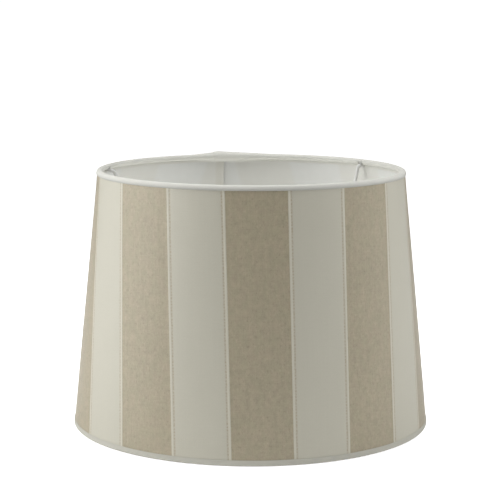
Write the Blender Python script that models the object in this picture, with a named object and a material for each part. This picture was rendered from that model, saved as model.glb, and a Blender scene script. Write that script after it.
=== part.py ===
"""Tapered drum lamp shade on a three-arm drop spider.

Metres, +Z up. The origin is the centre of the plane that the shade stands on. The glued seam
is at the back (+Y) and one spider arm points to the front (-Y). A strip of woven cloth on a
stiff liner is rolled into a cone and lapped at the seam. A wire ring sits inside each end, and
a folded trim tape covers each ring together with the edge of the sheet.
"""
import math

import bmesh
import bpy
from mathutils import Vector

# Overall sizes, measured over the trims
BOTTOM_DIAMETER = 0.350
TOP_DIAMETER = 0.300
HEIGHT = 0.250

# The rolled sheet
COVER_THICKNESS = 0.0004
LINER_THICKNESS = 0.0004
TAPE_THICKNESS = 0.0003
LAP_WIDTH = 0.012
LAP_RAMP = 0.008
LAP_SLACK = 0.0006
TAPE_INSET = 0.0005

# The wire frame
RING_WIRE = 0.0035
ARM_WIRE = 0.0035
ARM_RUN = 0.0055
ARM_BEND = 0.0045
ARM_DROP_ANGLE = math.radians(76)
ARM_SPREAD = math.radians(116.3)
HUB_BORE = 0.042
HUB_RIM = 0.009
HUB_THICKNESS = 0.002
HUB_CHAMFER = 0.0003
HUB_DROP = 0.030

# The folded trim tapes
TRIM_THICKNESS = 0.0005
TRIM_OUTER_LEG = 0.006
TRIM_INNER_LEG = 0.006
TRIM_CORNER = 0.0011
SLIT_WIDTH = 0.0055

# Clearance between touching pieces
GAP = 0.0003

# Facets
ROUND_COLUMNS = 60
HUB_COLUMNS = 48
WIRE_SIDES = 8
ARC_STEPS = 3

# Worked out from the sizes above
SLOPE = (BOTTOM_DIAMETER - TOP_DIAMETER) / 2 / HEIGHT
LEAN = math.sqrt(1 + SLOPE * SLOPE)
SHEET_STACK = COVER_THICKNESS + GAP + LINER_THICKNESS
LAP_LIFT = SHEET_STACK + GAP + TAPE_THICKNESS + GAP
SHEET_BOTTOM = TRIM_THICKNESS + GAP
SHEET_TOP = HEIGHT - SHEET_BOTTOM
LAP_HALF = LAP_WIDTH / BOTTOM_DIAMETER
LAP_EDGE = LAP_HALF + 2 * LAP_SLACK / BOTTOM_DIAMETER
LAP_END = LAP_EDGE + 2 * LAP_RAMP / BOTTOM_DIAMETER
BOTTOM_RING_Z = SHEET_BOTTOM + RING_WIRE / 2
TOP_RING_Z = HEIGHT - BOTTOM_RING_Z
ARM_TOP_Z = TOP_RING_Z - RING_WIRE / 2 - GAP - ARM_WIRE / 2
HUB_TOP_Z = HEIGHT - HUB_DROP
HUB_MID_Z = HUB_TOP_Z - HUB_THICKNESS / 2
HUB_RADIUS = HUB_BORE / 2 + HUB_RIM
ARM_AZIMUTHS = {"front": 0.0, "right": ARM_SPREAD, "left": -ARM_SPREAD}


def cover_radius(z):
    """Outer radius of the cloth cover, away from the seam, at height z."""
    return BOTTOM_DIAMETER / 2 - TRIM_THICKNESS - GAP - SLOPE * z


def ring_radius(z):
    """Centre-line radius of a wire ring at height z that touches the liner with the gap."""
    return cover_radius(z) - SHEET_STACK - (GAP + RING_WIRE / 2) * LEAN


def place(radius, azimuth, z):
    """A point from its radius, its azimuth (0 at the front, growing towards +X) and height."""
    return Vector((radius * math.sin(azimuth), -radius * math.cos(azimuth), z))


def seam_columns():
    """Azimuths from the seam's centre where the lapped layers change level."""
    return [-LAP_END, -LAP_EDGE, -LAP_HALF, 0.0, LAP_HALF, LAP_EDGE, LAP_END]


def round_columns():
    """Azimuths of one full turn that starts at the seam, shared by all that fits together."""
    plain = 2 * math.pi - 2 * LAP_END
    even = [LAP_END + plain * i / ROUND_COLUMNS for i in range(1, ROUND_COLUMNS)]
    near = seam_columns()
    turn = near[3:] + even + [2 * math.pi + u for u in near[:3]]
    return [math.pi + u for u in turn]


def swell(azimuth):
    """Factor on the radius of a layer outside the lap at an azimuth, 1 away from the seam.

    A factor, and not an added distance, keeps every facet of a sheet flat. It clears the lap
    at the narrow end, where it pushes out least.
    """
    away = math.pi - abs((azimuth + math.pi) % (2 * math.pi) - math.pi)
    share = min(1.0, max(0.0, (LAP_END - away) / (LAP_END - LAP_EDGE)))
    narrow = min(cover_radius(0.0), cover_radius(HEIGHT)) - SHEET_STACK
    return 1.0 + share * LAP_LIFT / narrow


def material(name, color, roughness, metallic=0.0):
    """A Principled material with one colour."""
    made = bpy.data.materials.new(name)
    made.use_nodes = True
    shader = made.node_tree.nodes["Principled BSDF"]
    shader.inputs["Base Color"].default_value = (*color, 1.0)
    shader.inputs["Roughness"].default_value = roughness
    shader.inputs["Metallic"].default_value = metallic
    return made


def add_object(name, data, finish):
    """Link an object of this data and material to the scene."""
    made = bpy.data.objects.new(name, data)
    made.data.materials.append(finish)
    bpy.context.scene.collection.objects.link(made)
    return made


def skin(name, sections, finish, closed):
    """Join a row of equal point loops into one solid, as a ring or with an end on each side."""
    bm = bmesh.new()
    rows = [[bm.verts.new(point) for point in section] for section in sections]
    count = len(rows[0])
    pairs = list(zip(rows, rows[1:]))
    if closed:
        pairs.append((rows[-1], rows[0]))
    for here, ahead in pairs:
        for i in range(count):
            j = (i + 1) % count
            bm.faces.new((here[i], here[j], ahead[j], ahead[i]))
    if not closed:
        bm.faces.new(rows[0])
        bm.faces.new(list(reversed(rows[-1])))
    bmesh.ops.recalc_face_normals(bm, faces=bm.faces)
    mesh = bpy.data.meshes.new(name)
    bm.to_mesh(mesh)
    bm.free()
    mesh.shade_smooth()
    mesh.set_sharp_from_angle(angle=math.radians(35))
    return add_object(name, mesh, finish)


def sheet_section(azimuth, inset, thickness, factor):
    """The four corners of a sheet at one azimuth, inset from the cover's outer face."""
    corners = []
    for z, depth in (
        (SHEET_BOTTOM, inset + thickness),
        (SHEET_BOTTOM, inset),
        (SHEET_TOP, inset),
        (SHEET_TOP, inset + thickness),
    ):
        corners.append(place((cover_radius(z) - depth) * factor, azimuth, z))
    return corners


def rolled_sheet(name, inset, thickness, finish):
    """A sheet rolled once round, whose far end laps over its near end at the seam."""
    full_turn = 2 * math.pi
    columns = [math.pi - LAP_HALF] + round_columns() + [full_turn + math.pi]
    columns.append(full_turn + math.pi + LAP_HALF)
    sections = []
    for azimuth in columns:
        factor = swell(azimuth) if azimuth > full_turn else 1.0
        sections.append(sheet_section(azimuth, inset, thickness, factor))
    return skin(name, sections, finish, closed=False)


def seam_tape(finish):
    """The adhesive strip between the two ends of the rolled sheet."""
    reach = LAP_HALF - 2 * TAPE_INSET / BOTTOM_DIAMETER
    inset = -GAP - TAPE_THICKNESS
    sections = [
        sheet_section(math.pi + u, inset, TAPE_THICKNESS, 1.0) for u in (-reach, 0.0, reach)
    ]
    return skin("seam_tape", sections, finish, closed=False)


def wire_ring(name, z, finish):
    """A round wire ring inside the liner at height z."""
    middle = ring_radius(z)
    sections = []
    for azimuth in round_columns():
        section = []
        for i in range(WIRE_SIDES):
            turn = 2 * math.pi * (i + 0.5) / WIRE_SIDES
            out = RING_WIRE / 2 * math.cos(turn)
            up = RING_WIRE / 2 * math.sin(turn)
            section.append(place(middle + out, azimuth, z + up))
        sections.append(section)
    return skin(name, sections, finish, closed=True)


def arc(center, radius, start, end):
    """Points of an arc in the radius-height plane, angles in degrees."""
    points = []
    for i in range(ARC_STEPS + 1):
        turn = math.radians(start + (end - start) * i / ARC_STEPS)
        points.append((center[0] + radius * math.cos(turn), center[1] + radius * math.sin(turn)))
    return points


def trim_profile(at_top):
    """Outline of a folded trim, as (radius, height, outside the lap) in a closed loop.

    It is drawn for the top end and mirrored for the bottom end: depth runs from the rim
    into the shade. The fold follows the ring on the inside and the sheet on the outside.
    """
    ring_z = TOP_RING_Z if at_top else BOTTOM_RING_Z
    ring_depth = BOTTOM_RING_Z
    middle = ring_radius(ring_z)
    hug = RING_WIRE / 2 + GAP

    def height(depth):
        return HEIGHT - depth if at_top else depth

    def face(depth, offset):
        return cover_radius(height(depth)) + offset

    outer = GAP + TRIM_THICKNESS
    corner = (face(TRIM_CORNER, outer) - TRIM_CORNER, -TRIM_CORNER)
    ring = (middle, -ring_depth)
    loop = [(face(TRIM_OUTER_LEG, outer), -TRIM_OUTER_LEG, True)]
    loop += [(r, d, True) for r, d in arc(corner, TRIM_CORNER, 0, 90)]
    loop += [(r, d, False) for r, d in arc(ring, hug + TRIM_THICKNESS, 90, 180)]
    loop += [(middle - hug - TRIM_THICKNESS, -TRIM_INNER_LEG, False)]
    loop += [(middle - hug, -TRIM_INNER_LEG, False)]
    loop += [(r, d, False) for r, d in arc(ring, hug, 180, 90)]
    loop += [(face(TRIM_THICKNESS, GAP), -TRIM_THICKNESS, True)]
    loop += [(face(TRIM_OUTER_LEG, GAP), -TRIM_OUTER_LEG, True)]
    return [(radius, height(-depth), outside) for radius, depth, outside in loop]


def trim(name, at_top, finish):
    """A trim tape folded over one end of the shade, pushed out where the sheet laps."""
    profile = trim_profile(at_top)
    sections = []
    for azimuth in round_columns():
        factor = swell(azimuth)
        sections.append(
            [place(r * (factor if outside else 1.0), azimuth, z) for r, z, outside in profile]
        )
    return skin(name, sections, finish, closed=True)


def cut_slit(piece, side, azimuth):
    """Open the inner leg of the top trim where a spider arm comes through."""
    depth = TRIM_INNER_LEG * 2
    middle = ring_radius(TOP_RING_Z) - RING_WIRE / 2
    top = TOP_RING_Z - RING_WIRE / 2
    bm = bmesh.new()
    bmesh.ops.create_cube(bm, size=1.0)
    bmesh.ops.scale(bm, vec=(SLIT_WIDTH, RING_WIRE * 2, depth), verts=bm.verts)
    mesh = bpy.data.meshes.new("slit_" + side)
    bm.to_mesh(mesh)
    bm.free()
    cutter = bpy.data.objects.new("slit_" + side, mesh)
    cutter.location = place(middle, azimuth, top - depth / 2)
    cutter.rotation_euler = (0.0, 0.0, azimuth)
    cutter.hide_render = True
    cutter.display_type = "WIRE"
    bpy.context.scene.collection.objects.link(cutter)
    cut = piece.modifiers.new("slit_" + side, "BOOLEAN")
    cut.operation = "DIFFERENCE"
    cut.solver = "EXACT"
    cut.object = cutter


def rounded_path(corners, radius):
    """The corners of a path in the radius-height plane joined by straights and round bends."""
    path = [Vector(corners[0])]
    for before, here, after in zip(corners, corners[1:], corners[2:]):
        here = Vector(here)
        back = (Vector(before) - here).normalized()
        ahead = (Vector(after) - here).normalized()
        half = back.angle(ahead) / 2
        reach = radius / math.tan(half)
        center = here + (back + ahead).normalized() * (radius / math.sin(half))
        start = (here + back * reach - center).normalized()
        end = (here + ahead * reach - center).normalized()
        steps = 2 * ARC_STEPS
        for i in range(steps + 1):
            path.append(center + start.slerp(end, i / steps) * radius)
    path.append(Vector(corners[-1]))
    return path


def spider_arm(side, azimuth, finish):
    """A wire that leaves the ring inwards, drops steeply and runs level to the hub."""
    start = ring_radius(TOP_RING_Z)
    shoulder = ring_radius(TOP_RING_Z) - RING_WIRE / 2 - ARM_RUN
    foot = shoulder - (ARM_TOP_Z - HUB_MID_Z) / math.tan(ARM_DROP_ANGLE)
    corners = [
        (start, ARM_TOP_Z),
        (shoulder, ARM_TOP_Z),
        (foot, HUB_MID_Z),
        (HUB_RADIUS + GAP, HUB_MID_Z),
    ]
    name = "spider_arm_" + side
    wire = bpy.data.curves.new(name, "CURVE")
    wire.dimensions = "3D"
    wire.bevel_depth = ARM_WIRE / 2
    wire.bevel_resolution = WIRE_SIDES // 4
    wire.use_fill_caps = True
    path = rounded_path(corners, ARM_BEND)
    line = wire.splines.new("POLY")
    line.points.add(len(path) - 1)
    for knot, (radius, z) in zip(line.points, path):
        knot.co = (*place(radius, 0.0, z), 1.0)
    arm = add_object(name, wire, finish)
    arm.rotation_euler = (0.0, 0.0, azimuth)
    return arm


def fitter_hub(finish):
    """The flat pressed ring that the lamp holder clamps, centred on the axis."""
    inner, outer = HUB_BORE / 2, HUB_RADIUS
    top, bottom = HUB_TOP_Z, HUB_TOP_Z - HUB_THICKNESS
    c = HUB_CHAMFER
    outline = [
        (inner, bottom + c),
        (inner + c, bottom),
        (outer - c, bottom),
        (outer, bottom + c),
        (outer, top - c),
        (outer - c, top),
        (inner + c, top),
        (inner, top - c),
    ]
    sections = []
    for i in range(HUB_COLUMNS):
        azimuth = 2 * math.pi * i / HUB_COLUMNS
        sections.append([place(r, azimuth, z) for r, z in outline])
    return skin("fitter_hub", sections, finish, closed=True)


def build():
    """Make every piece of the shade."""
    for old in list(bpy.data.objects):
        bpy.data.objects.remove(old, do_unlink=True)

    cloth = material("striped_cloth", (0.50, 0.46, 0.36), 0.9)
    plastic = material("white_liner", (0.86, 0.86, 0.83), 0.55)
    adhesive = material("clear_tape", (0.85, 0.83, 0.74), 0.4)
    tape = material("white_trim", (0.84, 0.84, 0.79), 0.85)
    steel = material("white_wire", (0.85, 0.85, 0.83), 0.3)

    rolled_sheet("striped_cover", 0.0, COVER_THICKNESS, cloth)
    rolled_sheet("styrene_liner", COVER_THICKNESS + GAP, LINER_THICKNESS, plastic)
    seam_tape(adhesive)
    wire_ring("top_ring", TOP_RING_Z, steel)
    wire_ring("bottom_ring", BOTTOM_RING_Z, steel)
    trim("bottom_trim", False, tape)
    top_trim = trim("top_trim", True, tape)
    for side, azimuth in ARM_AZIMUTHS.items():
        cut_slit(top_trim, side, azimuth)
        spider_arm(side, azimuth, steel)
    fitter_hub(steel)


build()
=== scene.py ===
"""Looks of the tapered striped lamp shade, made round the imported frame.

Metres, +Z up, in the frame's own place: the glued seam is at +Y and one spider arm points to
-Y. An azimuth is 0 at the front (-Y) and grows towards +X. The cloth is drawn in its flat
pattern, as it was cut, and then rolled on to the cone, so its stripes run as real ones do.
In a value for both trims, True is the top one and False the bottom one.
"""
import math

import bmesh
import bpy
from mathutils import Euler, Matrix, Vector
from mathutils.noise import noise


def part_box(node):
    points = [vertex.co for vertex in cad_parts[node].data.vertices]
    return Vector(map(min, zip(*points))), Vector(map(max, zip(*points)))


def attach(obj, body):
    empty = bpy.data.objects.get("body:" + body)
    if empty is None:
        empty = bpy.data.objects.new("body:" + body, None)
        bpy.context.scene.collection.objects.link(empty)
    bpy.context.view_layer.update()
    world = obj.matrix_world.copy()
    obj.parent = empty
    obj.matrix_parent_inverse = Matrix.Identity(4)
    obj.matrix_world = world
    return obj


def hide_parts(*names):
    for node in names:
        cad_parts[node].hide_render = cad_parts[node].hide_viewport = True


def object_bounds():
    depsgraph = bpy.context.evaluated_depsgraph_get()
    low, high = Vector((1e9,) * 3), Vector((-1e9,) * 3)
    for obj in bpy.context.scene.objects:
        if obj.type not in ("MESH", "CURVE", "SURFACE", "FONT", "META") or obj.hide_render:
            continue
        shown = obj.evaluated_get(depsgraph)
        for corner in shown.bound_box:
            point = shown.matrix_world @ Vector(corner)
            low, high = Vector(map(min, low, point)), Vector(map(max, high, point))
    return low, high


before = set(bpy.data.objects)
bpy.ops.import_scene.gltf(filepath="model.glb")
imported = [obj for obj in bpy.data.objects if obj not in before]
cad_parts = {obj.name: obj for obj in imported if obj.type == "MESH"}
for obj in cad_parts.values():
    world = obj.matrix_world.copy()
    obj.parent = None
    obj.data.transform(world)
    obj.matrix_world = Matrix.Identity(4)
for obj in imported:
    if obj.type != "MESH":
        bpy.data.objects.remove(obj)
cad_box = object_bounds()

MM = 0.001
SAME_POINT = 1e-7

# Camera
VIEW_AZIMUTH = math.radians(-13.2)
VIEW_DISTANCE = 1.6066
VIEW_HEIGHT = 0.4167
VIEW_PITCH = math.radians(8.758)
VIEW_YAW = math.radians(0.033)
VIEW_ROLL = math.radians(0.17)
LENS = 119.25
SENSOR = 36.0

# Studio: soft panels as (azimuth from the camera, elevation, watts), and the floor
PANEL_SIZE = 1.2
PANEL_DISTANCE = 2.0
PANELS = [(-105, 15, 7.0), (-75, 50, 21.5), (-75, 15, 11.0), (75, 50, 21.0), (75, 15, 2.0),
          (105, 15, 4.5), (0, 89.9, 10.0)]
FLOOR_RADIUS = 300.0
FLOOR_DROP = 0.2 * MM
FLOOR_GLOW = 0.65
FAR_GLOW = 0.4
FAR_GLOW_REACH = (0.5, 2.5)
FLOOR_BOUNCE = 0.12
INNER_GLOW = 0.335
INNER_SIZE = 0.27
INNER_HEIGHT = 8 * MM

# The sheet: woven cloth on a stiff white liner, lapped at the back
CLOTH_THICKNESS = 0.4 * MM
LINER_INSET = 0.5 * MM
LINER_THICKNESS = 0.6 * MM
EDGE_TUCK = 0.5 * MM
LAP_WIDTH = 12 * MM
LAP_SLACK = 0.6 * MM
LAP_RAMP = 8 * MM
LAP_LIFT = 2.0 * MM
RIPPLE = 0.35 * MM
RIPPLE_FREE = 30 * MM
RIPPLE_AROUND = 2.2
RIPPLE_UP = 5.0
LAP_FADE = 0.002
LINER_COLUMNS = 240
LINER_ROWS = 24

# The striped weave, in the flat pattern
STRIPE_PERIOD = 112.4 * MM
BEIGE_WIDTH = 56.4 * MM
BEIGE_OFFSET = -37.4 * MM
PATTERN_TURN = math.radians(0.29)
RIB_WIDTH = 2.2 * MM
RIB_HEIGHT = 0.16 * MM
DASH_START = 2.2 * MM
DASH_WIDTH = 1.6 * MM
DASH_DEPTH = 0.05 * MM
DASH_PITCH = 2.75 * MM
STRIPES_EACH_WAY = 6
COLUMN_STEP = 4 * MM
ROW_STEP = 6 * MM
YARN_PITCH = 0.62 * MM
CORD_PITCH = 0.9 * MM
YARN_DEPTH = 0.05 * MM
STRIPE_WANDER = 0.35 * MM
CALM_SHARE = 0.28

# The folded trim tapes
TAPE_THICKNESS = 0.35 * MM
TAPE_OUTER_LEG = {True: 4.9 * MM, False: 5.7 * MM}
TAPE_INNER_LEG = 8.4 * MM
TAPE_BULGE = {True: 0.65 * MM, False: 0.12 * MM}
TAPE_CORNER = {True: 2.2 * MM, False: 1.5 * MM}
TAPE_PUFF = (0.04, 0.82)
TAPE_LAY = 0.02 * MM
TAPE_CREST = 0.15 * MM
TAPE_CREST_INSET = 0.8 * MM
TAPE_HUG = math.radians(245)
TAPE_SLACK = 0.25 * MM
TAPE_TUCK = 1.2 * MM
TAPE_LINER_GAP = 0.15 * MM
TAPE_POINTS = {"leg": 9, "corner": 7, "hug": 13, "tuck": 7}
TAPE_COLUMNS = 360
TAPE_COLUMN_GAP = math.radians(0.04)
TAPE_EDGE_WAVE = 0.4 * MM
TAPE_CREASE = 0.03 * MM
TAPE_EDGE_THIN = 0.55
TAPE_FLOOR_GAP = 0.02 * MM
TAPE_JOINT_START = -64 * MM
TAPE_JOINT_PEAK = 2 * MM
TAPE_JOINT_CUT = 6 * MM
TAPE_JOINT_END = 38 * MM
TAPE_JOINT_LIFT = 3.0 * MM
TAPE_CUT_STEP = 0.5 * MM
# Painted shade on the tapes: a darkening of the outer leg towards its free edge, by a share for each tape
# over a width
TAPE_EDGE_SHADE = {True: 0.24, False: 0.03}
TAPE_EDGE_SHADE_WIDTH = 4.0 * MM
# Painted shade on the tapes: a darkening of the inner side, from just past the top of the ring inwards
TAPE_INSIDE_SHADE = 0.08
INSIDE_SHADE_START = 7.5 * MM
SLIT_WIDTH = 5.0 * MM
SLIT_FADE = 0.35
SLIT_COLUMNS = 12
SLIT_STEP = math.radians(0.13)
TAPE_CUT_PAST = 0.5 * MM

# The wire frame
WIRE = 3.5 * MM
WIRE_GAP = 0.3 * MM
ARM_BEND = 3.6 * MM
ARM_DROP_ANGLE = math.radians(76)
ARM_RUN = {"front": 5.5 * MM, "right": 2.6 * MM, "left": 5.5 * MM}
ARM_SIDES = 20
ARM_STEP = 2.5 * MM
ARM_UV_STEP = 2 * MM
WELD_AT_RING = (0.10, 4 * MM)
WELD_AT_HUB = (0.12, 3 * MM)
ARM_END = 0.82
HUB_EDGE = 0.5 * MM
HUB_COLUMNS = 144
PEEL_SCALE = 900.0
PEEL_DEPTH = 0.03 * MM
WEAR_SCALE = 60.0

# Each grain of the cloth: its size along x and y in millimetres, its detail and its seed
CLOTH_GRAINS = {
    "flecks": (1.7, 2.8, 3.0, 7.0),
    "heather": (0.8, 1.8, 2.0, 11.0),
    "slub": (16, 0.8, 2.0, 17.0),
    "streak": (1.1, 70, 2.0, 23.0),
    "cloud": (24, 38, 2.0, 29.0),
    "blotch": (4, 6, 3.0, 31.0),
    "warmth": (7, 12, 2.0, 37.0),
}
CLOTH_TONES = {"heather": 0.30, "slub": 0.16, "streak": 0.14, "cloud": 0.12}
BLOTCH_TONE = 0.36
DARK_FLECK = (0.58, 0.70, -0.16)
PALE_FLECK = (0.42, 0.28, 0.12)


def front_points(node):
    """Radius and height of the points in a CAD node's front half, away from the seam."""
    points = [v.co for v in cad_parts[node].data.vertices]
    return [(math.hypot(p.x, p.y), p.z) for p in points if p.y < 0]


def front_radius(node, z):
    """Largest radius of a CAD node at height z, away from the seam."""
    return max(radius for radius, height in front_points(node) if abs(height - z) < 0.1 * MM)


# Worked out from the frame
EDGE_LOW, EDGE_HIGH = (corner.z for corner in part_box("striped_cover"))
EDGE_RADIUS = front_radius("striped_cover", EDGE_LOW)
SLOPE = (EDGE_RADIUS - front_radius("striped_cover", EDGE_HIGH)) / (EDGE_HIGH - EDGE_LOW)
SHEET_LOW = EDGE_LOW + EDGE_TUCK
SHEET_HIGH = EDGE_HIGH - EDGE_TUCK
RADIUS_LOW = EDGE_RADIUS - SLOPE * EDGE_TUCK
RADIUS_HIGH = RADIUS_LOW - SLOPE * (SHEET_HIGH - SHEET_LOW)
HEIGHT = cad_box[1].z
COS_CONE = 1 / math.sqrt(1 + SLOPE * SLOPE)
SIN_CONE = SLOPE * COS_CONE
SLANT_LOW = RADIUS_LOW / SIN_CONE
SLANT_HIGH = RADIUS_HIGH / SIN_CONE
LAP_HALF = LAP_WIDTH / 2 / cad_box[1].x
LAP_EDGE = LAP_HALF + LAP_SLACK / cad_box[1].x
LAP_END = LAP_EDGE + LAP_RAMP / cad_box[1].x
RING_Z = {
    True: sum(corner.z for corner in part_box("top_ring")) / 2,
    False: sum(corner.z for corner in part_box("bottom_ring")) / 2,
}
SHEET_STACK = LINER_INSET + LINER_THICKNESS


def smooth(value):
    """A smooth step from 0 to 1 over the same range."""
    value = min(1.0, max(0.0, value))
    return value * value * (3 - 2 * value)


def cover_radius(z):
    """Outer radius of the cloth, away from the seam, at height z."""
    return RADIUS_LOW - SLOPE * (z - SHEET_LOW)


def ring_radius(z):
    """Centre-line radius of a wire ring inside the liner at height z."""
    return cover_radius(z) - SHEET_STACK - (WIRE_GAP + WIRE / 2) / COS_CONE


def place(radius, azimuth, z):
    """A point from its radius, its azimuth and its height."""
    return Vector((radius * math.sin(azimuth), -radius * math.cos(azimuth), z))


def from_seam(azimuth):
    """Angle from the seam's centre line, whichever side."""
    return math.pi - abs((azimuth + math.pi) % (2 * math.pi) - math.pi)


def swell(azimuth):
    """Factor on the radius of a layer that lies outside the lap, 1 away from the seam."""
    share = smooth((LAP_END - from_seam(azimuth)) / (LAP_END - LAP_EDGE))
    return 1.0 + share * LAP_LIFT / (RADIUS_HIGH - SHEET_STACK)


def ripple(azimuth, z):
    """How far the stiff sheet strays from a true cone, by a fraction of a millimetre."""
    at = Vector((RIPPLE_AROUND * math.sin(azimuth), RIPPLE_AROUND * math.cos(azimuth), z * RIPPLE_UP))
    free = smooth((z - SHEET_LOW) / RIPPLE_FREE) * smooth((SHEET_HIGH - z) / RIPPLE_FREE)
    return RIPPLE * free * noise(at)


# ---------------------------------------------------------------- mesh helpers

def solid_from_grid(name, outer, inner, uvs, material):
    """A thin closed piece from two equal grids of points, with the outer grid's flat UVs."""
    rows, columns = len(outer), len(outer[0])
    bm = bmesh.new()
    flat = bm.loops.layers.uv.new("flat")
    face_in = [[bm.verts.new(p) for p in row] for row in inner]
    face_out = [[bm.verts.new(p) for p in row] for row in outer]
    where = {}
    for side in (face_in, face_out):
        for r in range(rows):
            for c in range(columns):
                where[side[r][c]] = uvs[r][c]

    def quad(a, b, c, d):
        corners = [a, b, c, d]
        keep = [v for i, v in enumerate(corners) if (v.co - corners[i - 1].co).length > SAME_POINT]
        if len(keep) < 3:
            return
        for loop in bm.faces.new(keep).loops:
            loop[flat].uv = where[loop.vert]

    for r in range(rows - 1):
        for c in range(columns - 1):
            o, i = face_out, face_in
            quad(o[r][c], o[r][c + 1], o[r + 1][c + 1], o[r + 1][c])
            quad(i[r][c], i[r + 1][c], i[r + 1][c + 1], i[r][c + 1])
    for r, turn in ((0, 1), (rows - 1, -1)):
        for c in range(columns - 1):
            quad(*[face_in[r][c], face_in[r][c + 1], face_out[r][c + 1], face_out[r][c]][::turn])
    for c, turn in ((0, -1), (columns - 1, 1)):
        for r in range(rows - 1):
            quad(*[face_in[r][c], face_in[r + 1][c], face_out[r + 1][c], face_out[r][c]][::turn])
    bmesh.ops.remove_doubles(bm, verts=bm.verts, dist=SAME_POINT)
    return finish_mesh(name, bm, material)


def finish_mesh(name, bm, material, sharp=40):
    """Turn a bmesh into a shaded object of one material, with its faces pointing out."""
    bmesh.ops.recalc_face_normals(bm, faces=bm.faces)
    mesh = bpy.data.meshes.new(name)
    bm.to_mesh(mesh)
    bm.free()
    mesh.shade_smooth()
    mesh.set_sharp_from_angle(angle=math.radians(sharp))
    mesh.materials.append(material)
    piece = bpy.data.objects.new(name, mesh)
    bpy.context.scene.collection.objects.link(piece)
    return piece


def ring_of_loops(name, loops, uvs, material, sharp=40, closed=True):
    """A piece from equal closed loops of points, one after another, with matching UVs."""
    bm = bmesh.new()
    flat = bm.loops.layers.uv.new("flat")
    rows = [[bm.verts.new(p) for p in loop] for loop in loops]
    count = len(rows[0])
    last = len(rows) if closed else len(rows) - 1
    for r in range(last):
        here, ahead = rows[r], rows[(r + 1) % len(rows)]
        for i in range(count):
            j = (i + 1) % count
            face = bm.faces.new((here[i], here[j], ahead[j], ahead[i]))
            spots = ((r, i), (r, i + 1), (r + 1, i + 1), (r + 1, i))
            for loop, (row, col) in zip(face.loops, spots):
                loop[flat].uv = uvs(row, col)
    if not closed:
        for row in (rows[0], rows[-1]):
            bm.faces.new(row)
    return finish_mesh(name, bm, material, sharp)


def filled(marks, step):
    """The marks in order, with even points added so that no space is wider than the step."""
    marks = sorted(marks)
    points = [marks[0]]
    for low, high in zip(marks, marks[1:]):
        parts = max(1, math.ceil((high - low) / step - 1e-6))
        points += [low + (high - low) * i / parts for i in range(1, parts + 1)]
    return points


# ---------------------------------------------------------------- materials

class Graph:
    """Short calls for building the nodes of one Principled material."""

    def __init__(self, name):
        self.material = bpy.data.materials.new(name)
        self.material.use_nodes = True
        self.tree = self.material.node_tree
        self.shader = self.tree.nodes["Principled BSDF"]

    def node(self, kind, **settings):
        made = self.tree.nodes.new(kind)
        for key, value in settings.items():
            setattr(made, key, value)
        return made

    def feed(self, socket, value):
        if isinstance(value, bpy.types.NodeSocket):
            self.tree.links.new(value, socket)
        else:
            socket.default_value = value

    def math(self, operation, *values):
        made = self.node("ShaderNodeMath", operation=operation)
        for socket, value in zip(made.inputs, values):
            self.feed(socket, value)
        return made.outputs[0]

    def step(self, value, low, high):
        """0 at low and 1 at high, smoothly."""
        made = self.node("ShaderNodeMapRange", interpolation_type="SMOOTHSTEP")
        self.feed(made.inputs["Value"], value)
        made.inputs["From Min"].default_value = low
        made.inputs["From Max"].default_value = high
        return made.outputs[0]

    def flat(self):
        """The flat pattern's coordinates in metres, along and across, as separate values."""
        place_in = self.node("ShaderNodeUVMap", uv_map="flat")
        parts = self.node("ShaderNodeSeparateXYZ")
        self.tree.links.new(place_in.outputs[0], parts.inputs[0])
        return parts.outputs[0], parts.outputs[1]

    def grain(self, x, y, size_x, size_y, detail=2.0, seed=0.0):
        """Noise from 0 to 1 whose blobs are about size_x by size_y metres."""
        joined = self.node("ShaderNodeCombineXYZ")
        self.feed(joined.inputs[0], self.math("DIVIDE", x, size_x))
        self.feed(joined.inputs[1], self.math("DIVIDE", y, size_y))
        joined.inputs[2].default_value = seed
        made = self.node("ShaderNodeTexNoise")
        self.tree.links.new(joined.outputs[0], made.inputs["Vector"])
        made.inputs["Scale"].default_value = 1.0
        made.inputs["Detail"].default_value = detail
        return made.outputs[0]

    def grains(self, x, y, table):
        """A noise for each row of a table of sizes in millimetres, detail and seed."""
        made = {}
        for name, (size_x, size_y, detail, seed) in table.items():
            made[name] = self.grain(x, y, size_x * MM, size_y * MM, detail, seed)
        return made

    def vary(self, tone, noise, amount):
        """The tone, made paler and darker by a noise round its middle value."""
        return self.math("MULTIPLY_ADD", self.math("SUBTRACT", noise, 0.5), amount, tone)

    def toned(self, color, tone):
        """The colour times a grey tone."""
        grey = self.node("ShaderNodeCombineColor")
        for socket in grey.inputs:
            self.feed(socket, tone)
        return self.blend(1.0, color, grey.outputs[0], "MULTIPLY")

    def blend(self, factor, first, second, mode="MIX"):
        made = self.node("ShaderNodeMix", data_type="RGBA", blend_type=mode)
        self.feed(made.inputs[0], factor)
        self.feed(made.inputs[6], first)
        self.feed(made.inputs[7], second)
        return made.outputs[2]

    def bump(self, height, depth, normal=None):
        """Bump from a height of 0 to 1 that stands for depth metres."""
        made = self.node("ShaderNodeBump")
        made.inputs["Strength"].default_value = 1.0
        made.inputs["Distance"].default_value = depth
        self.feed(made.inputs["Height"], height)
        if normal is not None:
            self.tree.links.new(normal, made.inputs["Normal"])
        return made.outputs[0]

    def finish(self, color, roughness, normal, **constants):
        self.feed(self.shader.inputs["Base Color"], color)
        self.feed(self.shader.inputs["Roughness"], roughness)
        if normal is not None:
            self.tree.links.new(normal, self.shader.inputs["Normal"])
        for name, value in constants.items():
            self.shader.inputs[name.replace("_", " ")].default_value = value
        return self.material


def rgb(red, green, blue):
    return (red, green, blue, 1.0)


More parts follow.
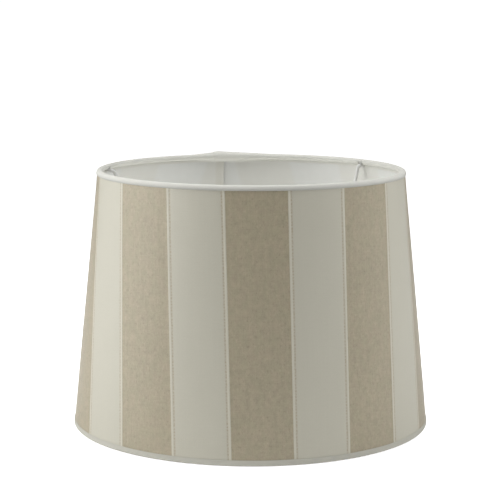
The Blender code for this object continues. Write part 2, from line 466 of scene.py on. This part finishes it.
WHITE_CLOTH = rgb(0.53, 0.51, 0.42)
CREAM_RIB = rgb(0.575, 0.55, 0.45)
BROWN_DASH = rgb(0.40, 0.335, 0.225)
BEIGE_CLOTH = rgb(0.388, 0.331, 0.229)
OLIVE_CLOTH = rgb(0.368, 0.326, 0.219)
# One and the same tape: its top copy is paler for painted light and its bottom copy darker for painted
# shade
TAPE_LIT_AND_SHADED = {True: rgb(0.645, 0.641, 0.592), False: rgb(0.53, 0.52, 0.455)}
WHITE_LINER = rgb(0.615, 0.618, 0.594)
# Painted shade: the liner is dimmed where a beige stripe lies behind it, as if light shone through
STRIPE_THROUGH_SHADE = rgb(0.98, 0.97, 0.945)
# Painted shade: the liner is dimmed where the lap doubles the sheet, as if light shone through
LAP_SHADE = rgb(0.955, 0.945, 0.92)
WHITE_PAINT = rgb(0.68, 0.68, 0.66)
ADHESIVE_FILM = rgb(0.72, 0.68, 0.55)


def weave(graph, x, y, pitch):
    """Height of a plain weave: crossing yarns that rise and dip in turn."""
    across = graph.math("SINE", graph.math("MULTIPLY", x, math.pi / pitch))
    along = graph.math("SINE", graph.math("MULTIPLY", y, math.pi / pitch))
    crossing = graph.math("MULTIPLY", across, along)
    return graph.math("MULTIPLY_ADD", crossing, 0.5, 0.5)


def outside_stripe(graph, x):
    """Distance of a flat-pattern x outside the nearest beige stripe, negative within it."""
    periods = graph.math("DIVIDE", graph.math("SUBTRACT", x, BEIGE_OFFSET), STRIPE_PERIOD)
    turns = graph.math("ADD", periods, 0.5)
    cell = graph.math("MULTIPLY", graph.math("SUBTRACT", graph.math("FRACT", turns), 0.5), STRIPE_PERIOD)
    return graph.math("SUBTRACT", graph.math("ABSOLUTE", cell), BEIGE_WIDTH / 2)


def cloth_material():
    """Linen-look stripes: beige and off-white with a satin cord and a dashed line between."""
    g = Graph("striped_cloth")
    x, y = g.flat()
    wander = g.math("MULTIPLY", g.math("SUBTRACT", g.grain(x, y, 9 * MM, 1.1 * MM), 0.5), STRIPE_WANDER)
    outside = outside_stripe(g, g.math("ADD", x, wander))
    beige = g.step(outside, 0.18 * MM, -0.18 * MM)
    rib = g.math("SUBTRACT", g.step(outside, -0.1 * MM, 0.25 * MM),
                 g.step(outside, RIB_WIDTH - 0.2 * MM, RIB_WIDTH + 0.15 * MM))
    line = g.math("SUBTRACT", g.step(outside, DASH_START - 0.2 * MM, DASH_START + 0.3 * MM),
                  g.step(outside, DASH_START + DASH_WIDTH - 0.3 * MM, DASH_START + DASH_WIDTH + 0.3 * MM))
    beat = g.math("SINE", g.math("MULTIPLY", y, 2 * math.pi / DASH_PITCH))
    ragged = g.math("SUBTRACT", g.grain(x, y, 1.6 * MM, 2.2 * MM, seed=3.0), 0.5)
    broken = g.math("MULTIPLY_ADD", ragged, 5.0, g.math("MULTIPLY", beat, 0.5))
    dash = g.math("MULTIPLY", line, g.math("MULTIPLY_ADD", g.step(broken, -0.9, 0.9), 0.6, 0.25))

    grains = g.grains(x, y, CLOTH_GRAINS)
    tone = 1.0
    for name, amount in CLOTH_TONES.items():
        tone = g.vary(tone, grains[name], amount)
    fleck_tone = tone
    for low, high, amount in (DARK_FLECK, PALE_FLECK):
        fleck_tone = g.math("MULTIPLY_ADD", g.step(grains["flecks"], low, high), amount, fleck_tone)
    fleck_tone = g.vary(fleck_tone, grains["blotch"], BLOTCH_TONE)
    calm_tone = g.math("MULTIPLY_ADD", g.math("SUBTRACT", tone, 1.0), CALM_SHARE, 1.0)
    shade = g.node("ShaderNodeMix", data_type="FLOAT")
    g.feed(shade.inputs[0], beige)
    g.feed(shade.inputs[2], calm_tone)
    g.feed(shade.inputs[3], fleck_tone)

    linen = g.blend(g.step(grains["warmth"], 0.35, 0.65), OLIVE_CLOTH, BEIGE_CLOTH)
    ground = g.blend(beige, WHITE_CLOTH, linen)
    ground = g.blend(rib, ground, CREAM_RIB)
    ground = g.blend(dash, ground, BROWN_DASH)
    color = g.toned(ground, shade.outputs[0])

    plain = g.bump(weave(g, x, y, YARN_PITCH), YARN_DEPTH)
    yarns = g.bump(g.math("ADD", grains["heather"], grains["slub"]), YARN_DEPTH, plain)
    cords = g.math("SINE", g.math("MULTIPLY", y, 2 * math.pi / CORD_PITCH))
    ribbed = g.bump(g.math("MULTIPLY", cords, rib), YARN_DEPTH, yarns)
    rough = g.math("MULTIPLY_ADD", rib, -0.06, g.math("MULTIPLY_ADD", grains["heather"], 0.1, 0.45))
    return g.finish(color, rough, ribbed, Sheen_Weight=0.35, Sheen_Roughness=0.25, Specular_IOR_Level=1.0)


def tape_material(name, color, edge_shade):
    """White cotton tape, finely woven, with painted shade darkening its outer edge and its inner side."""
    g = Graph(name)
    x, y = g.flat()
    cloud = g.grain(x, y, 24 * MM, 14 * MM, 2.0, 2.0)
    thread = g.grain(x, y, 0.5 * MM, 2.5 * MM, 2.0, 5.0)
    tone = g.vary(g.vary(1.0, cloud, 0.06), thread, 0.08)
    # Painted shade: darker towards the outer leg's free edge
    edge_shading = g.math("MULTIPLY_ADD", g.step(y, 0.0, TAPE_EDGE_SHADE_WIDTH), edge_shade, 1.0 - edge_shade)
    # Painted shade: darker over the inner side of the tape
    inside_shade = g.math("MULTIPLY_ADD", g.step(y, INSIDE_SHADE_START, INSIDE_SHADE_START + 2 * MM), -TAPE_INSIDE_SHADE, 1.0)
    tone = g.math("MULTIPLY", g.math("MULTIPLY", tone, edge_shading), inside_shade)
    fine = g.bump(weave(g, x, y, 0.4 * MM), 0.03 * MM)
    puckers = g.bump(g.grain(x, y, 9 * MM, 9 * MM, 1.0, 9.0), 0.05 * MM, fine)
    return g.finish(g.toned(color, tone), g.math("MULTIPLY_ADD", thread, 0.15, 0.62), puckers,
                    Sheen_Weight=0.1, Specular_IOR_Level=0.4)


def liner_material():
    """Satin white plastic sheet, with painted shade where the beige stripes and the doubled lap behind it
    would dim light shining through.
    """
    g = Graph("white_liner")
    x, y = g.flat()
    mottle = g.grain(x, y, 7 * MM, 9 * MM, 3.0, 4.0)
    fine = g.grain(x, y, 1.2 * MM, 1.2 * MM, 2.0, 8.0)
    color = g.toned(WHITE_LINER, g.vary(g.vary(1.0, mottle, 0.05), fine, 0.02))
    # Painted shade behind each beige stripe, standing for light shining through the sheet
    stripe_shade_mask = g.step(outside_stripe(g, x), 3 * MM, -3 * MM)
    color = g.blend(stripe_shade_mask, color, g.blend(1.0, color, STRIPE_THROUGH_SHADE, "MULTIPLY"))
    # Painted shade over the doubled lap, standing for light shining through the sheet
    turn = g.math("ABSOLUTE", g.math("ADD", g.math("ARCTAN2", x, y), PATTERN_TURN))
    lap = SIN_CONE * (math.pi - LAP_HALF)
    lap_shade_mask = g.step(turn, lap, lap + LAP_FADE)
    color = g.blend(lap_shade_mask, color, g.blend(1.0, color, LAP_SHADE, "MULTIPLY"))
    skin = g.bump(fine, 0.02 * MM)
    waves = g.bump(g.grain(x, y, 40 * MM, 90 * MM, 1.0, 6.0), 0.4 * MM, skin)
    return g.finish(color, g.math("MULTIPLY_ADD", mottle, 0.12, 0.42), waves, Specular_IOR_Level=0.45)


def paint_material(name, color, roughness):
    """A smooth glossy coat with a slight orange peel and faint wear."""
    g = Graph(name)
    spot = g.node("ShaderNodeTexCoord").outputs["Object"]
    noises = []
    for scale in (PEEL_SCALE, WEAR_SCALE):
        made = g.node("ShaderNodeTexNoise")
        g.tree.links.new(spot, made.inputs["Vector"])
        made.inputs["Scale"].default_value = scale
        noises.append(made.outputs[0])
    peel, wear = noises
    rough = g.math("MULTIPLY_ADD", wear, 0.12, roughness)
    return g.finish(g.toned(color, g.vary(1.0, wear, 0.06)), rough, g.bump(peel, PEEL_DEPTH),
                    Coat_Weight=0.3)


# ---------------------------------------------------------------- the sheet

def from_edge(x):
    """Distance of a flat-pattern x outside the nearest beige stripe, negative within it."""
    cell = ((x - BEIGE_OFFSET) / STRIPE_PERIOD + 0.5) % 1.0 - 0.5
    return abs(cell) * STRIPE_PERIOD - BEIGE_WIDTH / 2


def relief(x):
    """Height of the woven cord, and depth of the dashed line, beside each beige stripe."""
    outside = from_edge(x)
    if 0 < outside < RIB_WIDTH:
        return RIB_HEIGHT * math.sin(math.pi * outside / RIB_WIDTH)
    groove = (outside - DASH_START) / DASH_WIDTH
    if 0 < groove < 1:
        return -DASH_DEPTH * math.sin(math.pi * groove)
    return 0.0


def on_cone(x, slant, depth):
    """The point of the rolled sheet for a flat-pattern x and slant, depth below its face."""
    azimuth = (math.asin(x / slant) + PATTERN_TURN) / SIN_CONE
    radius = slant * SIN_CONE
    z = SHEET_LOW + (SLANT_LOW - slant) * COS_CONE
    factor = swell(azimuth) if azimuth > 0 else 1.0
    rise = ripple(azimuth, z) - depth
    return place((radius + rise * COS_CONE) * factor, azimuth, z + rise * SIN_CONE)


def striped_cloth():
    """The cloth cover, gridded along its stripes so that cords and dashes have relief."""
    reach = SIN_CONE * (math.pi + LAP_HALF)
    sides = (-reach - PATTERN_TURN, reach - PATTERN_TURN)
    low, high = (SLANT_LOW * math.sin(side) for side in sides)
    marks = [low, high]
    offsets = [0.0, 0.5 * RIB_WIDTH, 0.2 * RIB_WIDTH, 0.8 * RIB_WIDTH, RIB_WIDTH]
    offsets += [DASH_START, DASH_START + DASH_WIDTH / 2, DASH_START + DASH_WIDTH]
    for stripe in range(-STRIPES_EACH_WAY, STRIPES_EACH_WAY + 1):
        center = BEIGE_OFFSET + stripe * STRIPE_PERIOD
        for side in (-1, 1):
            marks += [center + side * (BEIGE_WIDTH / 2 + offset) for offset in offsets]
    columns = filled([x for x in marks if low <= x <= high], COLUMN_STEP)
    rows = round((SLANT_LOW - SLANT_HIGH) / ROW_STEP)
    outer, inner, uvs = [], [], []
    for r in range(rows + 1):
        outer_row, inner_row, uv_row = [], [], []
        for x in columns:
            side = sides[1] if x > 0 else sides[0]
            start = min(SLANT_LOW, max(SLANT_HIGH, x / math.sin(side)))
            slant = start + (SLANT_LOW - start) * r / rows
            outer_row.append(on_cone(x, slant, -relief(x)))
            inner_row.append(on_cone(x, slant, CLOTH_THICKNESS))
            uv_row.append((x, math.sqrt(slant * slant - x * x)))
        outer.append(outer_row)
        inner.append(inner_row)
        uvs.append(uv_row)
    piece = solid_from_grid("striped_cloth_cover", outer, inner, uvs, cloth_material())
    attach(piece, "root")
    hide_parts("striped_cover")


def liner_sheet():
    """The stiff white liner that the cloth is laminated on."""
    full = math.pi + LAP_HALF
    marks = [-full, full, -math.pi, math.pi, math.pi - LAP_END, math.pi - LAP_EDGE]
    columns = filled(marks, 2 * math.pi / LINER_COLUMNS)
    outer, inner, uvs = [], [], []
    for r in range(LINER_ROWS + 1):
        z = SHEET_LOW + (SHEET_HIGH - SHEET_LOW) * r / LINER_ROWS
        for rows, depth in ((outer, LINER_INSET), (inner, LINER_INSET + LINER_THICKNESS)):
            row = []
            for azimuth in columns:
                factor = swell(azimuth) if azimuth > 0 else 1.0
                radius = (cover_radius(z) + ripple(azimuth, z) - depth) * factor
                row.append(place(radius, azimuth, z))
            rows.append(row)
        slant = cover_radius(z) / SIN_CONE
        turns = [SIN_CONE * azimuth - PATTERN_TURN for azimuth in columns]
        uvs.append([(slant * math.sin(turn), slant * math.cos(turn)) for turn in turns])
    piece = solid_from_grid("liner_sheet", outer, inner, uvs, liner_material())
    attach(piece, "root")
    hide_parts("styrene_liner")


# ---------------------------------------------------------------- the trims

def tape_profile(at_top, inner_leg):
    """Middle line of a folded tape, as (radius, depth from the rim, outside the lap)."""
    def height(depth):
        return HEIGHT - depth if at_top else depth

    ring_depth = abs(height(RING_Z[at_top]))
    middle = ring_radius(RING_Z[at_top])
    half = TAPE_THICKNESS / 2
    leg = TAPE_OUTER_LEG[at_top]
    hug = WIRE / 2 + TAPE_SLACK + half
    line = []
    low, high = TAPE_PUFF
    count = TAPE_POINTS["leg"] - 1
    for i in range(count + 1):
        share = i / count
        depth = leg + (TAPE_CORNER[at_top] - leg) * share
        puff = TAPE_BULGE[at_top] * math.sin(math.pi * (low + (high - low) * share))
        line.append((cover_radius(height(depth)) + half + TAPE_LAY + puff, depth, True))
    start_r, start_d, _ = line[-1]
    end_r, end_d = middle + TAPE_CREST_INSET, TAPE_CREST
    for i in range(1, TAPE_POINTS["corner"]):
        turn = math.pi / 2 * i / TAPE_POINTS["corner"]
        radius = end_r + (start_r - end_r) * math.cos(turn)
        depth = end_d + (start_d - end_d) * (1 - math.sin(turn))
        line.append((radius, depth, True))
    count = TAPE_POINTS["hug"] - 1
    for i in range(count + 1):
        turn = math.pi / 2 + (TAPE_HUG - math.pi / 2) * i / count
        line.append((middle + hug * math.cos(turn), ring_depth - hug * math.sin(turn), False))
    under = ring_depth + hug + TAPE_TUCK
    count = TAPE_POINTS["tuck"] - 1
    for i in range(count + 1):
        depth = under + (inner_leg - under) * i / count
        radius = cover_radius(height(depth)) - SHEET_STACK - half - TAPE_LINER_GAP
        line.append((radius, depth, False))
    return line


def tape_cut(line, ring_depth):
    """The same tape trimmed back to the ring's inner side, for an arm, with as many points."""
    first = sum(outside for _, _, outside in line)
    last = max(i for i, point in enumerate(line) if i >= first and point[1] < ring_depth + TAPE_CUT_PAST)
    pace = (last - first) / (len(line) - 1 - first)
    kept = line[:first]
    for i in range(len(line) - first):
        low = min(last - 1, first + int(i * pace))
        part = first + i * pace - low
        (r, depth, _), (next_r, next_depth, _) = line[low:low + 2]
        kept.append((r + (next_r - r) * part, depth + (next_depth - depth) * part, False))
    return kept


def tape_joint(azimuth):
    """How far the tape's overlapped ends lift it: a slow rise to a peak, then a cut edge."""
    along = ((azimuth % (2 * math.pi)) - math.pi) * RADIUS_HIGH
    rise = (along - TAPE_JOINT_START) / (TAPE_JOINT_PEAK - TAPE_JOINT_START)
    fall = (TAPE_JOINT_END - along) / (TAPE_JOINT_END - TAPE_JOINT_PEAK)
    share = max(0.0, min(rise, fall, 0.96))
    cut = TAPE_CUT_STEP * share if along > TAPE_JOINT_CUT else 0.0
    return TAPE_JOINT_LIFT * share ** 1.3 - cut


def slit_at(azimuth, arms):
    """How far the inner leg is cut back for a spider arm, from 0 to 1."""
    gaps = [abs((azimuth - arm + math.pi) % (2 * math.pi) - math.pi) for arm in arms]
    half = SLIT_WIDTH / 2 / ring_radius(HEIGHT)
    fade = SLIT_FADE * half
    return max([smooth((half + fade - gap) / fade) for gap in gaps], default=0.0)


def trim_tape(name, at_top, node, arms, material):
    """A tape folded over one rim, puffed outside, tucked under the ring and lapped at the seam."""
    azimuths = [2 * math.pi * i / TAPE_COLUMNS for i in range(TAPE_COLUMNS)]
    for arm in arms:
        near = range(-SLIT_COLUMNS, SLIT_COLUMNS + 1)
        azimuths += [arm % (2 * math.pi) + SLIT_STEP * i for i in near]
    for edge in (TAPE_JOINT_CUT - 0.1 * MM, TAPE_JOINT_CUT + 0.1 * MM):
        azimuths.append(math.pi + edge / RADIUS_HIGH)
    azimuths.sort()
    following = azimuths[1:] + [math.inf]
    azimuths = [a for a, b in zip(azimuths, following) if b - a > TAPE_COLUMN_GAP]
    ring_depth = abs(HEIGHT * at_top - RING_Z[at_top])
    loops = []
    for azimuth in azimuths:
        wave = noise(Vector((9 * math.sin(azimuth), 9 * math.cos(azimuth), 3.0 + at_top)))
        line = tape_profile(at_top, TAPE_INNER_LEG + TAPE_EDGE_WAVE * wave)
        cut = slit_at(azimuth, arms)
        short = tape_cut(line, ring_depth)
        line = [(a[0] + (b[0] - a[0]) * cut, a[1] + (b[1] - a[1]) * cut, a[2]) for a, b in zip(line, short)]
        loops.append(tape_section(line, at_top, azimuth))
    widths = [0.0]
    for a, b in zip(loops[0], loops[0][1:]):
        widths.append(widths[-1] + (b - a).length)
    widths.append(widths[-1] + TAPE_THICKNESS)
    lengths = [azimuth * RADIUS_HIGH for azimuth in azimuths] + [2 * math.pi * RADIUS_HIGH]
    piece = ring_of_loops(name, loops, lambda row, col: (lengths[row], widths[col]), material, sharp=50)
    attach(piece, "root")
    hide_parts(node)
    tape_width(at_top)


def tape_width(at_top):
    """Cut width of a tape, from the length of its folded middle line."""
    line = tape_profile(at_top, TAPE_INNER_LEG)
    return sum(math.hypot(b[0] - a[0], b[1] - a[1]) for a, b in zip(line, line[1:]))


def tape_section(line, at_top, azimuth):
    """Closed outline of the tape at one azimuth, thick both sides of its middle line."""
    factor = swell(azimuth)
    joint = tape_joint(azimuth)
    pucker = noise(Vector((34 * math.sin(azimuth), 34 * math.cos(azimuth), 7.0)))
    outline = []
    last = len(line) - 1
    for side in (1, -1):
        for i in range(last + 1) if side == 1 else reversed(range(last + 1)):
            before, after = line[max(0, i - 1)], line[min(last, i + 1)]
            run = Vector((after[0] - before[0], after[1] - before[1]))
            run.normalize()
            out = Vector((-run.y, run.x))
            radius, depth, outside = line[i]
            share = i / last
            lift = joint * min(1.0, 6 * share, 3 * (1 - share))
            crease = TAPE_CREASE * pucker * max(0.0, share - 0.5) * 2
            thin = TAPE_EDGE_THIN if i in (0, last) else 1.0
            offset = out * (side * thin * TAPE_THICKNESS / 2 + lift + crease)
            r = (radius + offset.x) * (factor if outside else 1.0)
            d = depth + offset.y
            outline.append(place(r, azimuth, HEIGHT - d if at_top else max(TAPE_FLOOR_GAP, d)))
    return outline


# ---------------------------------------------------------------- the wire frame

def arm_azimuth(node):
    """Azimuth of a spider arm, from the far end of its CAD node."""
    points = [v.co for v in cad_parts[node].data.vertices]
    far = sorted(points, key=lambda p: -math.hypot(p.x, p.y))[:8]
    middle = sum(far, Vector()) / len(far)
    return math.atan2(middle.x, -middle.y)


def arm_ends(node):
    """Outer and inner radius of an arm's CAD node, and its upper and lower centre height."""
    low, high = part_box(node)
    radii = [math.hypot(v.co.x, v.co.y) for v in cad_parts[node].data.vertices]
    return max(radii), min(radii), high.z - WIRE / 2, low.z + WIRE / 2


def rounded(corners, radius, steps=8):
    """Corners joined by straights and round bends, as points with even spacing."""
    path = [Vector(corners[0])]
    for before, here, after in zip(corners, corners[1:], corners[2:]):
        here = Vector(here)
        back = (Vector(before) - here).normalized()
        ahead = (Vector(after) - here).normalized()
        half = back.angle(ahead) / 2
        center = here + (back + ahead).normalized() * (radius / math.sin(half))
        reach = radius / math.tan(half)
        start = (here + back * reach - center).normalized()
        end = (here + ahead * reach - center).normalized()
        path += [center + start.slerp(end, i / steps) * radius for i in range(steps + 1)]
    path.append(Vector(corners[-1]))
    return path


def spider_arm(side, material):
    """A round wire bent twice, with a weld at the ring and one at the hub."""
    node = "spider_arm_" + side
    azimuth = arm_azimuth(node)
    start, end, top, foot = arm_ends(node)
    shoulder = ring_radius(RING_Z[True]) - WIRE / 2 - ARM_RUN[side]
    toe = shoulder - (top - foot) / math.tan(ARM_DROP_ANGLE)
    corners = [(start, top), (shoulder, top), (toe, foot), (end, foot)]
    path = rounded(corners, ARM_BEND)
    dense = [path[0]]
    for here, ahead in zip(path, path[1:]):
        parts = max(1, round((ahead - here).length / ARM_STEP))
        dense += [here + (ahead - here) * i / parts for i in range(1, parts + 1)]
    out = place(1.0, azimuth, 0.0)
    across = Vector((math.cos(azimuth), math.sin(azimuth), 0.0))
    up = Vector((0.0, 0.0, 1.0))
    total = sum((b - a).length for a, b in zip(dense, dense[1:]))
    loops, run = [], 0.0
    for i, point in enumerate(dense):
        before, after = dense[max(0, i - 1)], dense[min(len(dense) - 1, i + 1)]
        tangent = (after - before).normalized()
        normal = out * -tangent.y + up * tangent.x
        center = out * point.x + up * point.y
        if i:
            run += (point - dense[i - 1]).length
        bulge = 1.0
        for (rise, reach), far in ((WELD_AT_RING, run), (WELD_AT_HUB, total - run)):
            bulge += rise * smooth(1.0 - far / reach)
        if i in (0, len(dense) - 1):
            bulge *= ARM_END
        loop = []
        for s in range(ARM_SIDES):
            turn = 2 * math.pi * s / ARM_SIDES
            spoke = across * math.cos(turn) + normal * math.sin(turn)
            loop.append(center + spoke * (WIRE / 2 * bulge))
        loops.append(loop)
    around = math.pi * WIRE / ARM_SIDES
    piece = ring_of_loops("wire_arm_" + side, loops, lambda row, col: (col * around, row * ARM_UV_STEP),
                          material, closed=False, sharp=60)
    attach(piece, "root")
    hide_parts(node)
    return azimuth


def hub_plate(material):
    """The flat pressed ring that the lamp holder clamps to, with rounded edges."""
    low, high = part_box("fitter_hub")
    radii = [radius for radius, _ in front_points("fitter_hub")]
    bore, rim = min(radii), max(radii)
    corners = [(bore, low.z), (rim, low.z), (rim, high.z), (bore, high.z)]
    turns = (180, 270, 0, 90)
    insets = ((1, 1), (-1, 1), (-1, -1), (1, -1))
    outline = []
    for (r, z), turn, (side_r, side_z) in zip(corners, turns, insets):
        for i in range(5):
            angle = math.radians(turn + 90 * i / 4)
            outline.append((r + side_r * HUB_EDGE + HUB_EDGE * math.cos(angle),
                            z + side_z * HUB_EDGE + HUB_EDGE * math.sin(angle)))
    turns = [2 * math.pi * i / HUB_COLUMNS for i in range(HUB_COLUMNS)]
    loops = [[place(r, turn, z) for r, z in outline] for turn in turns]
    piece = ring_of_loops("hub_plate", loops, lambda row, col: (row * MM, col * MM), material, sharp=50)
    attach(piece, "root")
    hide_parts("fitter_hub")


# ---------------------------------------------------------------- the stage

def add_camera():
    """The camera at the studio view: a long lens a little above the top rim."""
    data = bpy.data.cameras.new("studio_camera")
    data.lens = LENS
    data.sensor_width = SENSOR
    data.clip_start, data.clip_end = 0.05, 200.0
    camera = bpy.data.objects.new("studio_camera", data)
    camera.location = place(VIEW_DISTANCE, VIEW_AZIMUTH, VIEW_HEIGHT)
    level = Euler((math.pi / 2 - VIEW_PITCH, 0.0, VIEW_AZIMUTH + VIEW_YAW)).to_matrix()
    camera.rotation_euler = (level @ Matrix.Rotation(VIEW_ROLL, 3, "Z")).to_euler()
    bpy.context.scene.collection.objects.link(camera)
    bpy.context.scene.camera = camera


def add_panel(azimuth, elevation, power):
    """A soft square light that faces the shade, its azimuth measured from the camera's."""
    data = bpy.data.lights.new("panel", "AREA")
    data.size = PANEL_SIZE
    data.energy = power
    light = bpy.data.objects.new("panel", data)
    turn, rise = math.radians(azimuth), math.radians(elevation)
    center = Vector((0.0, 0.0, HEIGHT / 2))
    out = place(math.cos(rise), VIEW_AZIMUTH + turn, math.sin(rise))
    light.location = center + out * PANEL_DISTANCE
    light.rotation_euler = out.to_track_quat("Z", "Y").to_euler()
    bpy.context.scene.collection.objects.link(light)


def add_inner_glow():
    """A faint light from within, standing for what shines through the cloth and its liner."""
    data = bpy.data.lights.new("inner_glow", "AREA")
    data.shape = "DISK"
    data.size = INNER_SIZE
    data.energy = INNER_GLOW
    light = bpy.data.objects.new("inner_glow", data)
    light.location = (0.0, 0.0, INNER_HEIGHT)
    light.rotation_euler = (math.pi, 0.0, 0.0)
    light.visible_camera = False
    bpy.context.scene.collection.objects.link(light)


def add_floor():
    """A wide pale floor that glows a little more with distance, as a lit sweep does."""
    bm = bmesh.new()
    bmesh.ops.create_circle(bm, cap_ends=True, segments=64, radius=FLOOR_RADIUS)
    g = Graph("pale_floor")
    spot = g.node("ShaderNodeTexCoord")
    reach = g.node("ShaderNodeVectorMath", operation="LENGTH")
    g.tree.links.new(spot.outputs["Object"], reach.inputs[0])
    far = g.step(reach.outputs["Value"], *FAR_GLOW_REACH)
    glow = g.math("MULTIPLY_ADD", far, FAR_GLOW, FLOOR_GLOW)
    seen = g.node("ShaderNodeLightPath").outputs["Is Camera Ray"]
    glow = g.math("MULTIPLY", glow, g.math("MAXIMUM", seen, FLOOR_BOUNCE))
    g.feed(g.shader.inputs["Emission Strength"], glow)
    material = g.finish(rgb(0.9, 0.9, 0.9), 0.9, None, Emission_Color=rgb(1.0, 1.0, 1.0),
                        Specular_IOR_Level=0.0)
    floor = finish_mesh("floor", bm, material)
    floor.location.z = -FLOOR_DROP


def add_world():
    """A white surround for the eye that adds almost no light of its own."""
    world = bpy.data.worlds.new("studio")
    world.use_nodes = True
    tree = world.node_tree
    seen = tree.nodes.new("ShaderNodeLightPath").outputs["Is Camera Ray"]
    tree.links.new(seen, tree.nodes["Background"].inputs["Strength"])
    tree.nodes["Background"].inputs["Color"].default_value = rgb(1.0, 1.0, 1.0)
    bpy.context.scene.world = world


add_camera()
add_world()
add_floor()
for panel in PANELS:
    add_panel(*panel)
add_inner_glow()
bpy.context.scene.view_settings.view_transform = "Standard"

liner_sheet()
striped_cloth()
paint = paint_material("white_paint", WHITE_PAINT, 0.2)
arms = [spider_arm(side, paint) for side in ("front", "right", "left")]
hub_plate(paint)
for at_top, end, slit_arms in ((True, "top", arms), (False, "bottom", [])):
    tape = tape_material(end + "_tape", TAPE_LIT_AND_SHADED[at_top], TAPE_EDGE_SHADE[at_top])
    trim_tape(end + "_trim_tape", at_top, end + "_trim", slit_arms, tape)
adhesive = paint_material("adhesive_film", ADHESIVE_FILM, 0.35)
for node, coat in (("top_ring", paint), ("bottom_ring", paint), ("seam_tape", adhesive)):
    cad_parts[node].data.materials.clear()
    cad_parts[node].data.materials.append(coat)
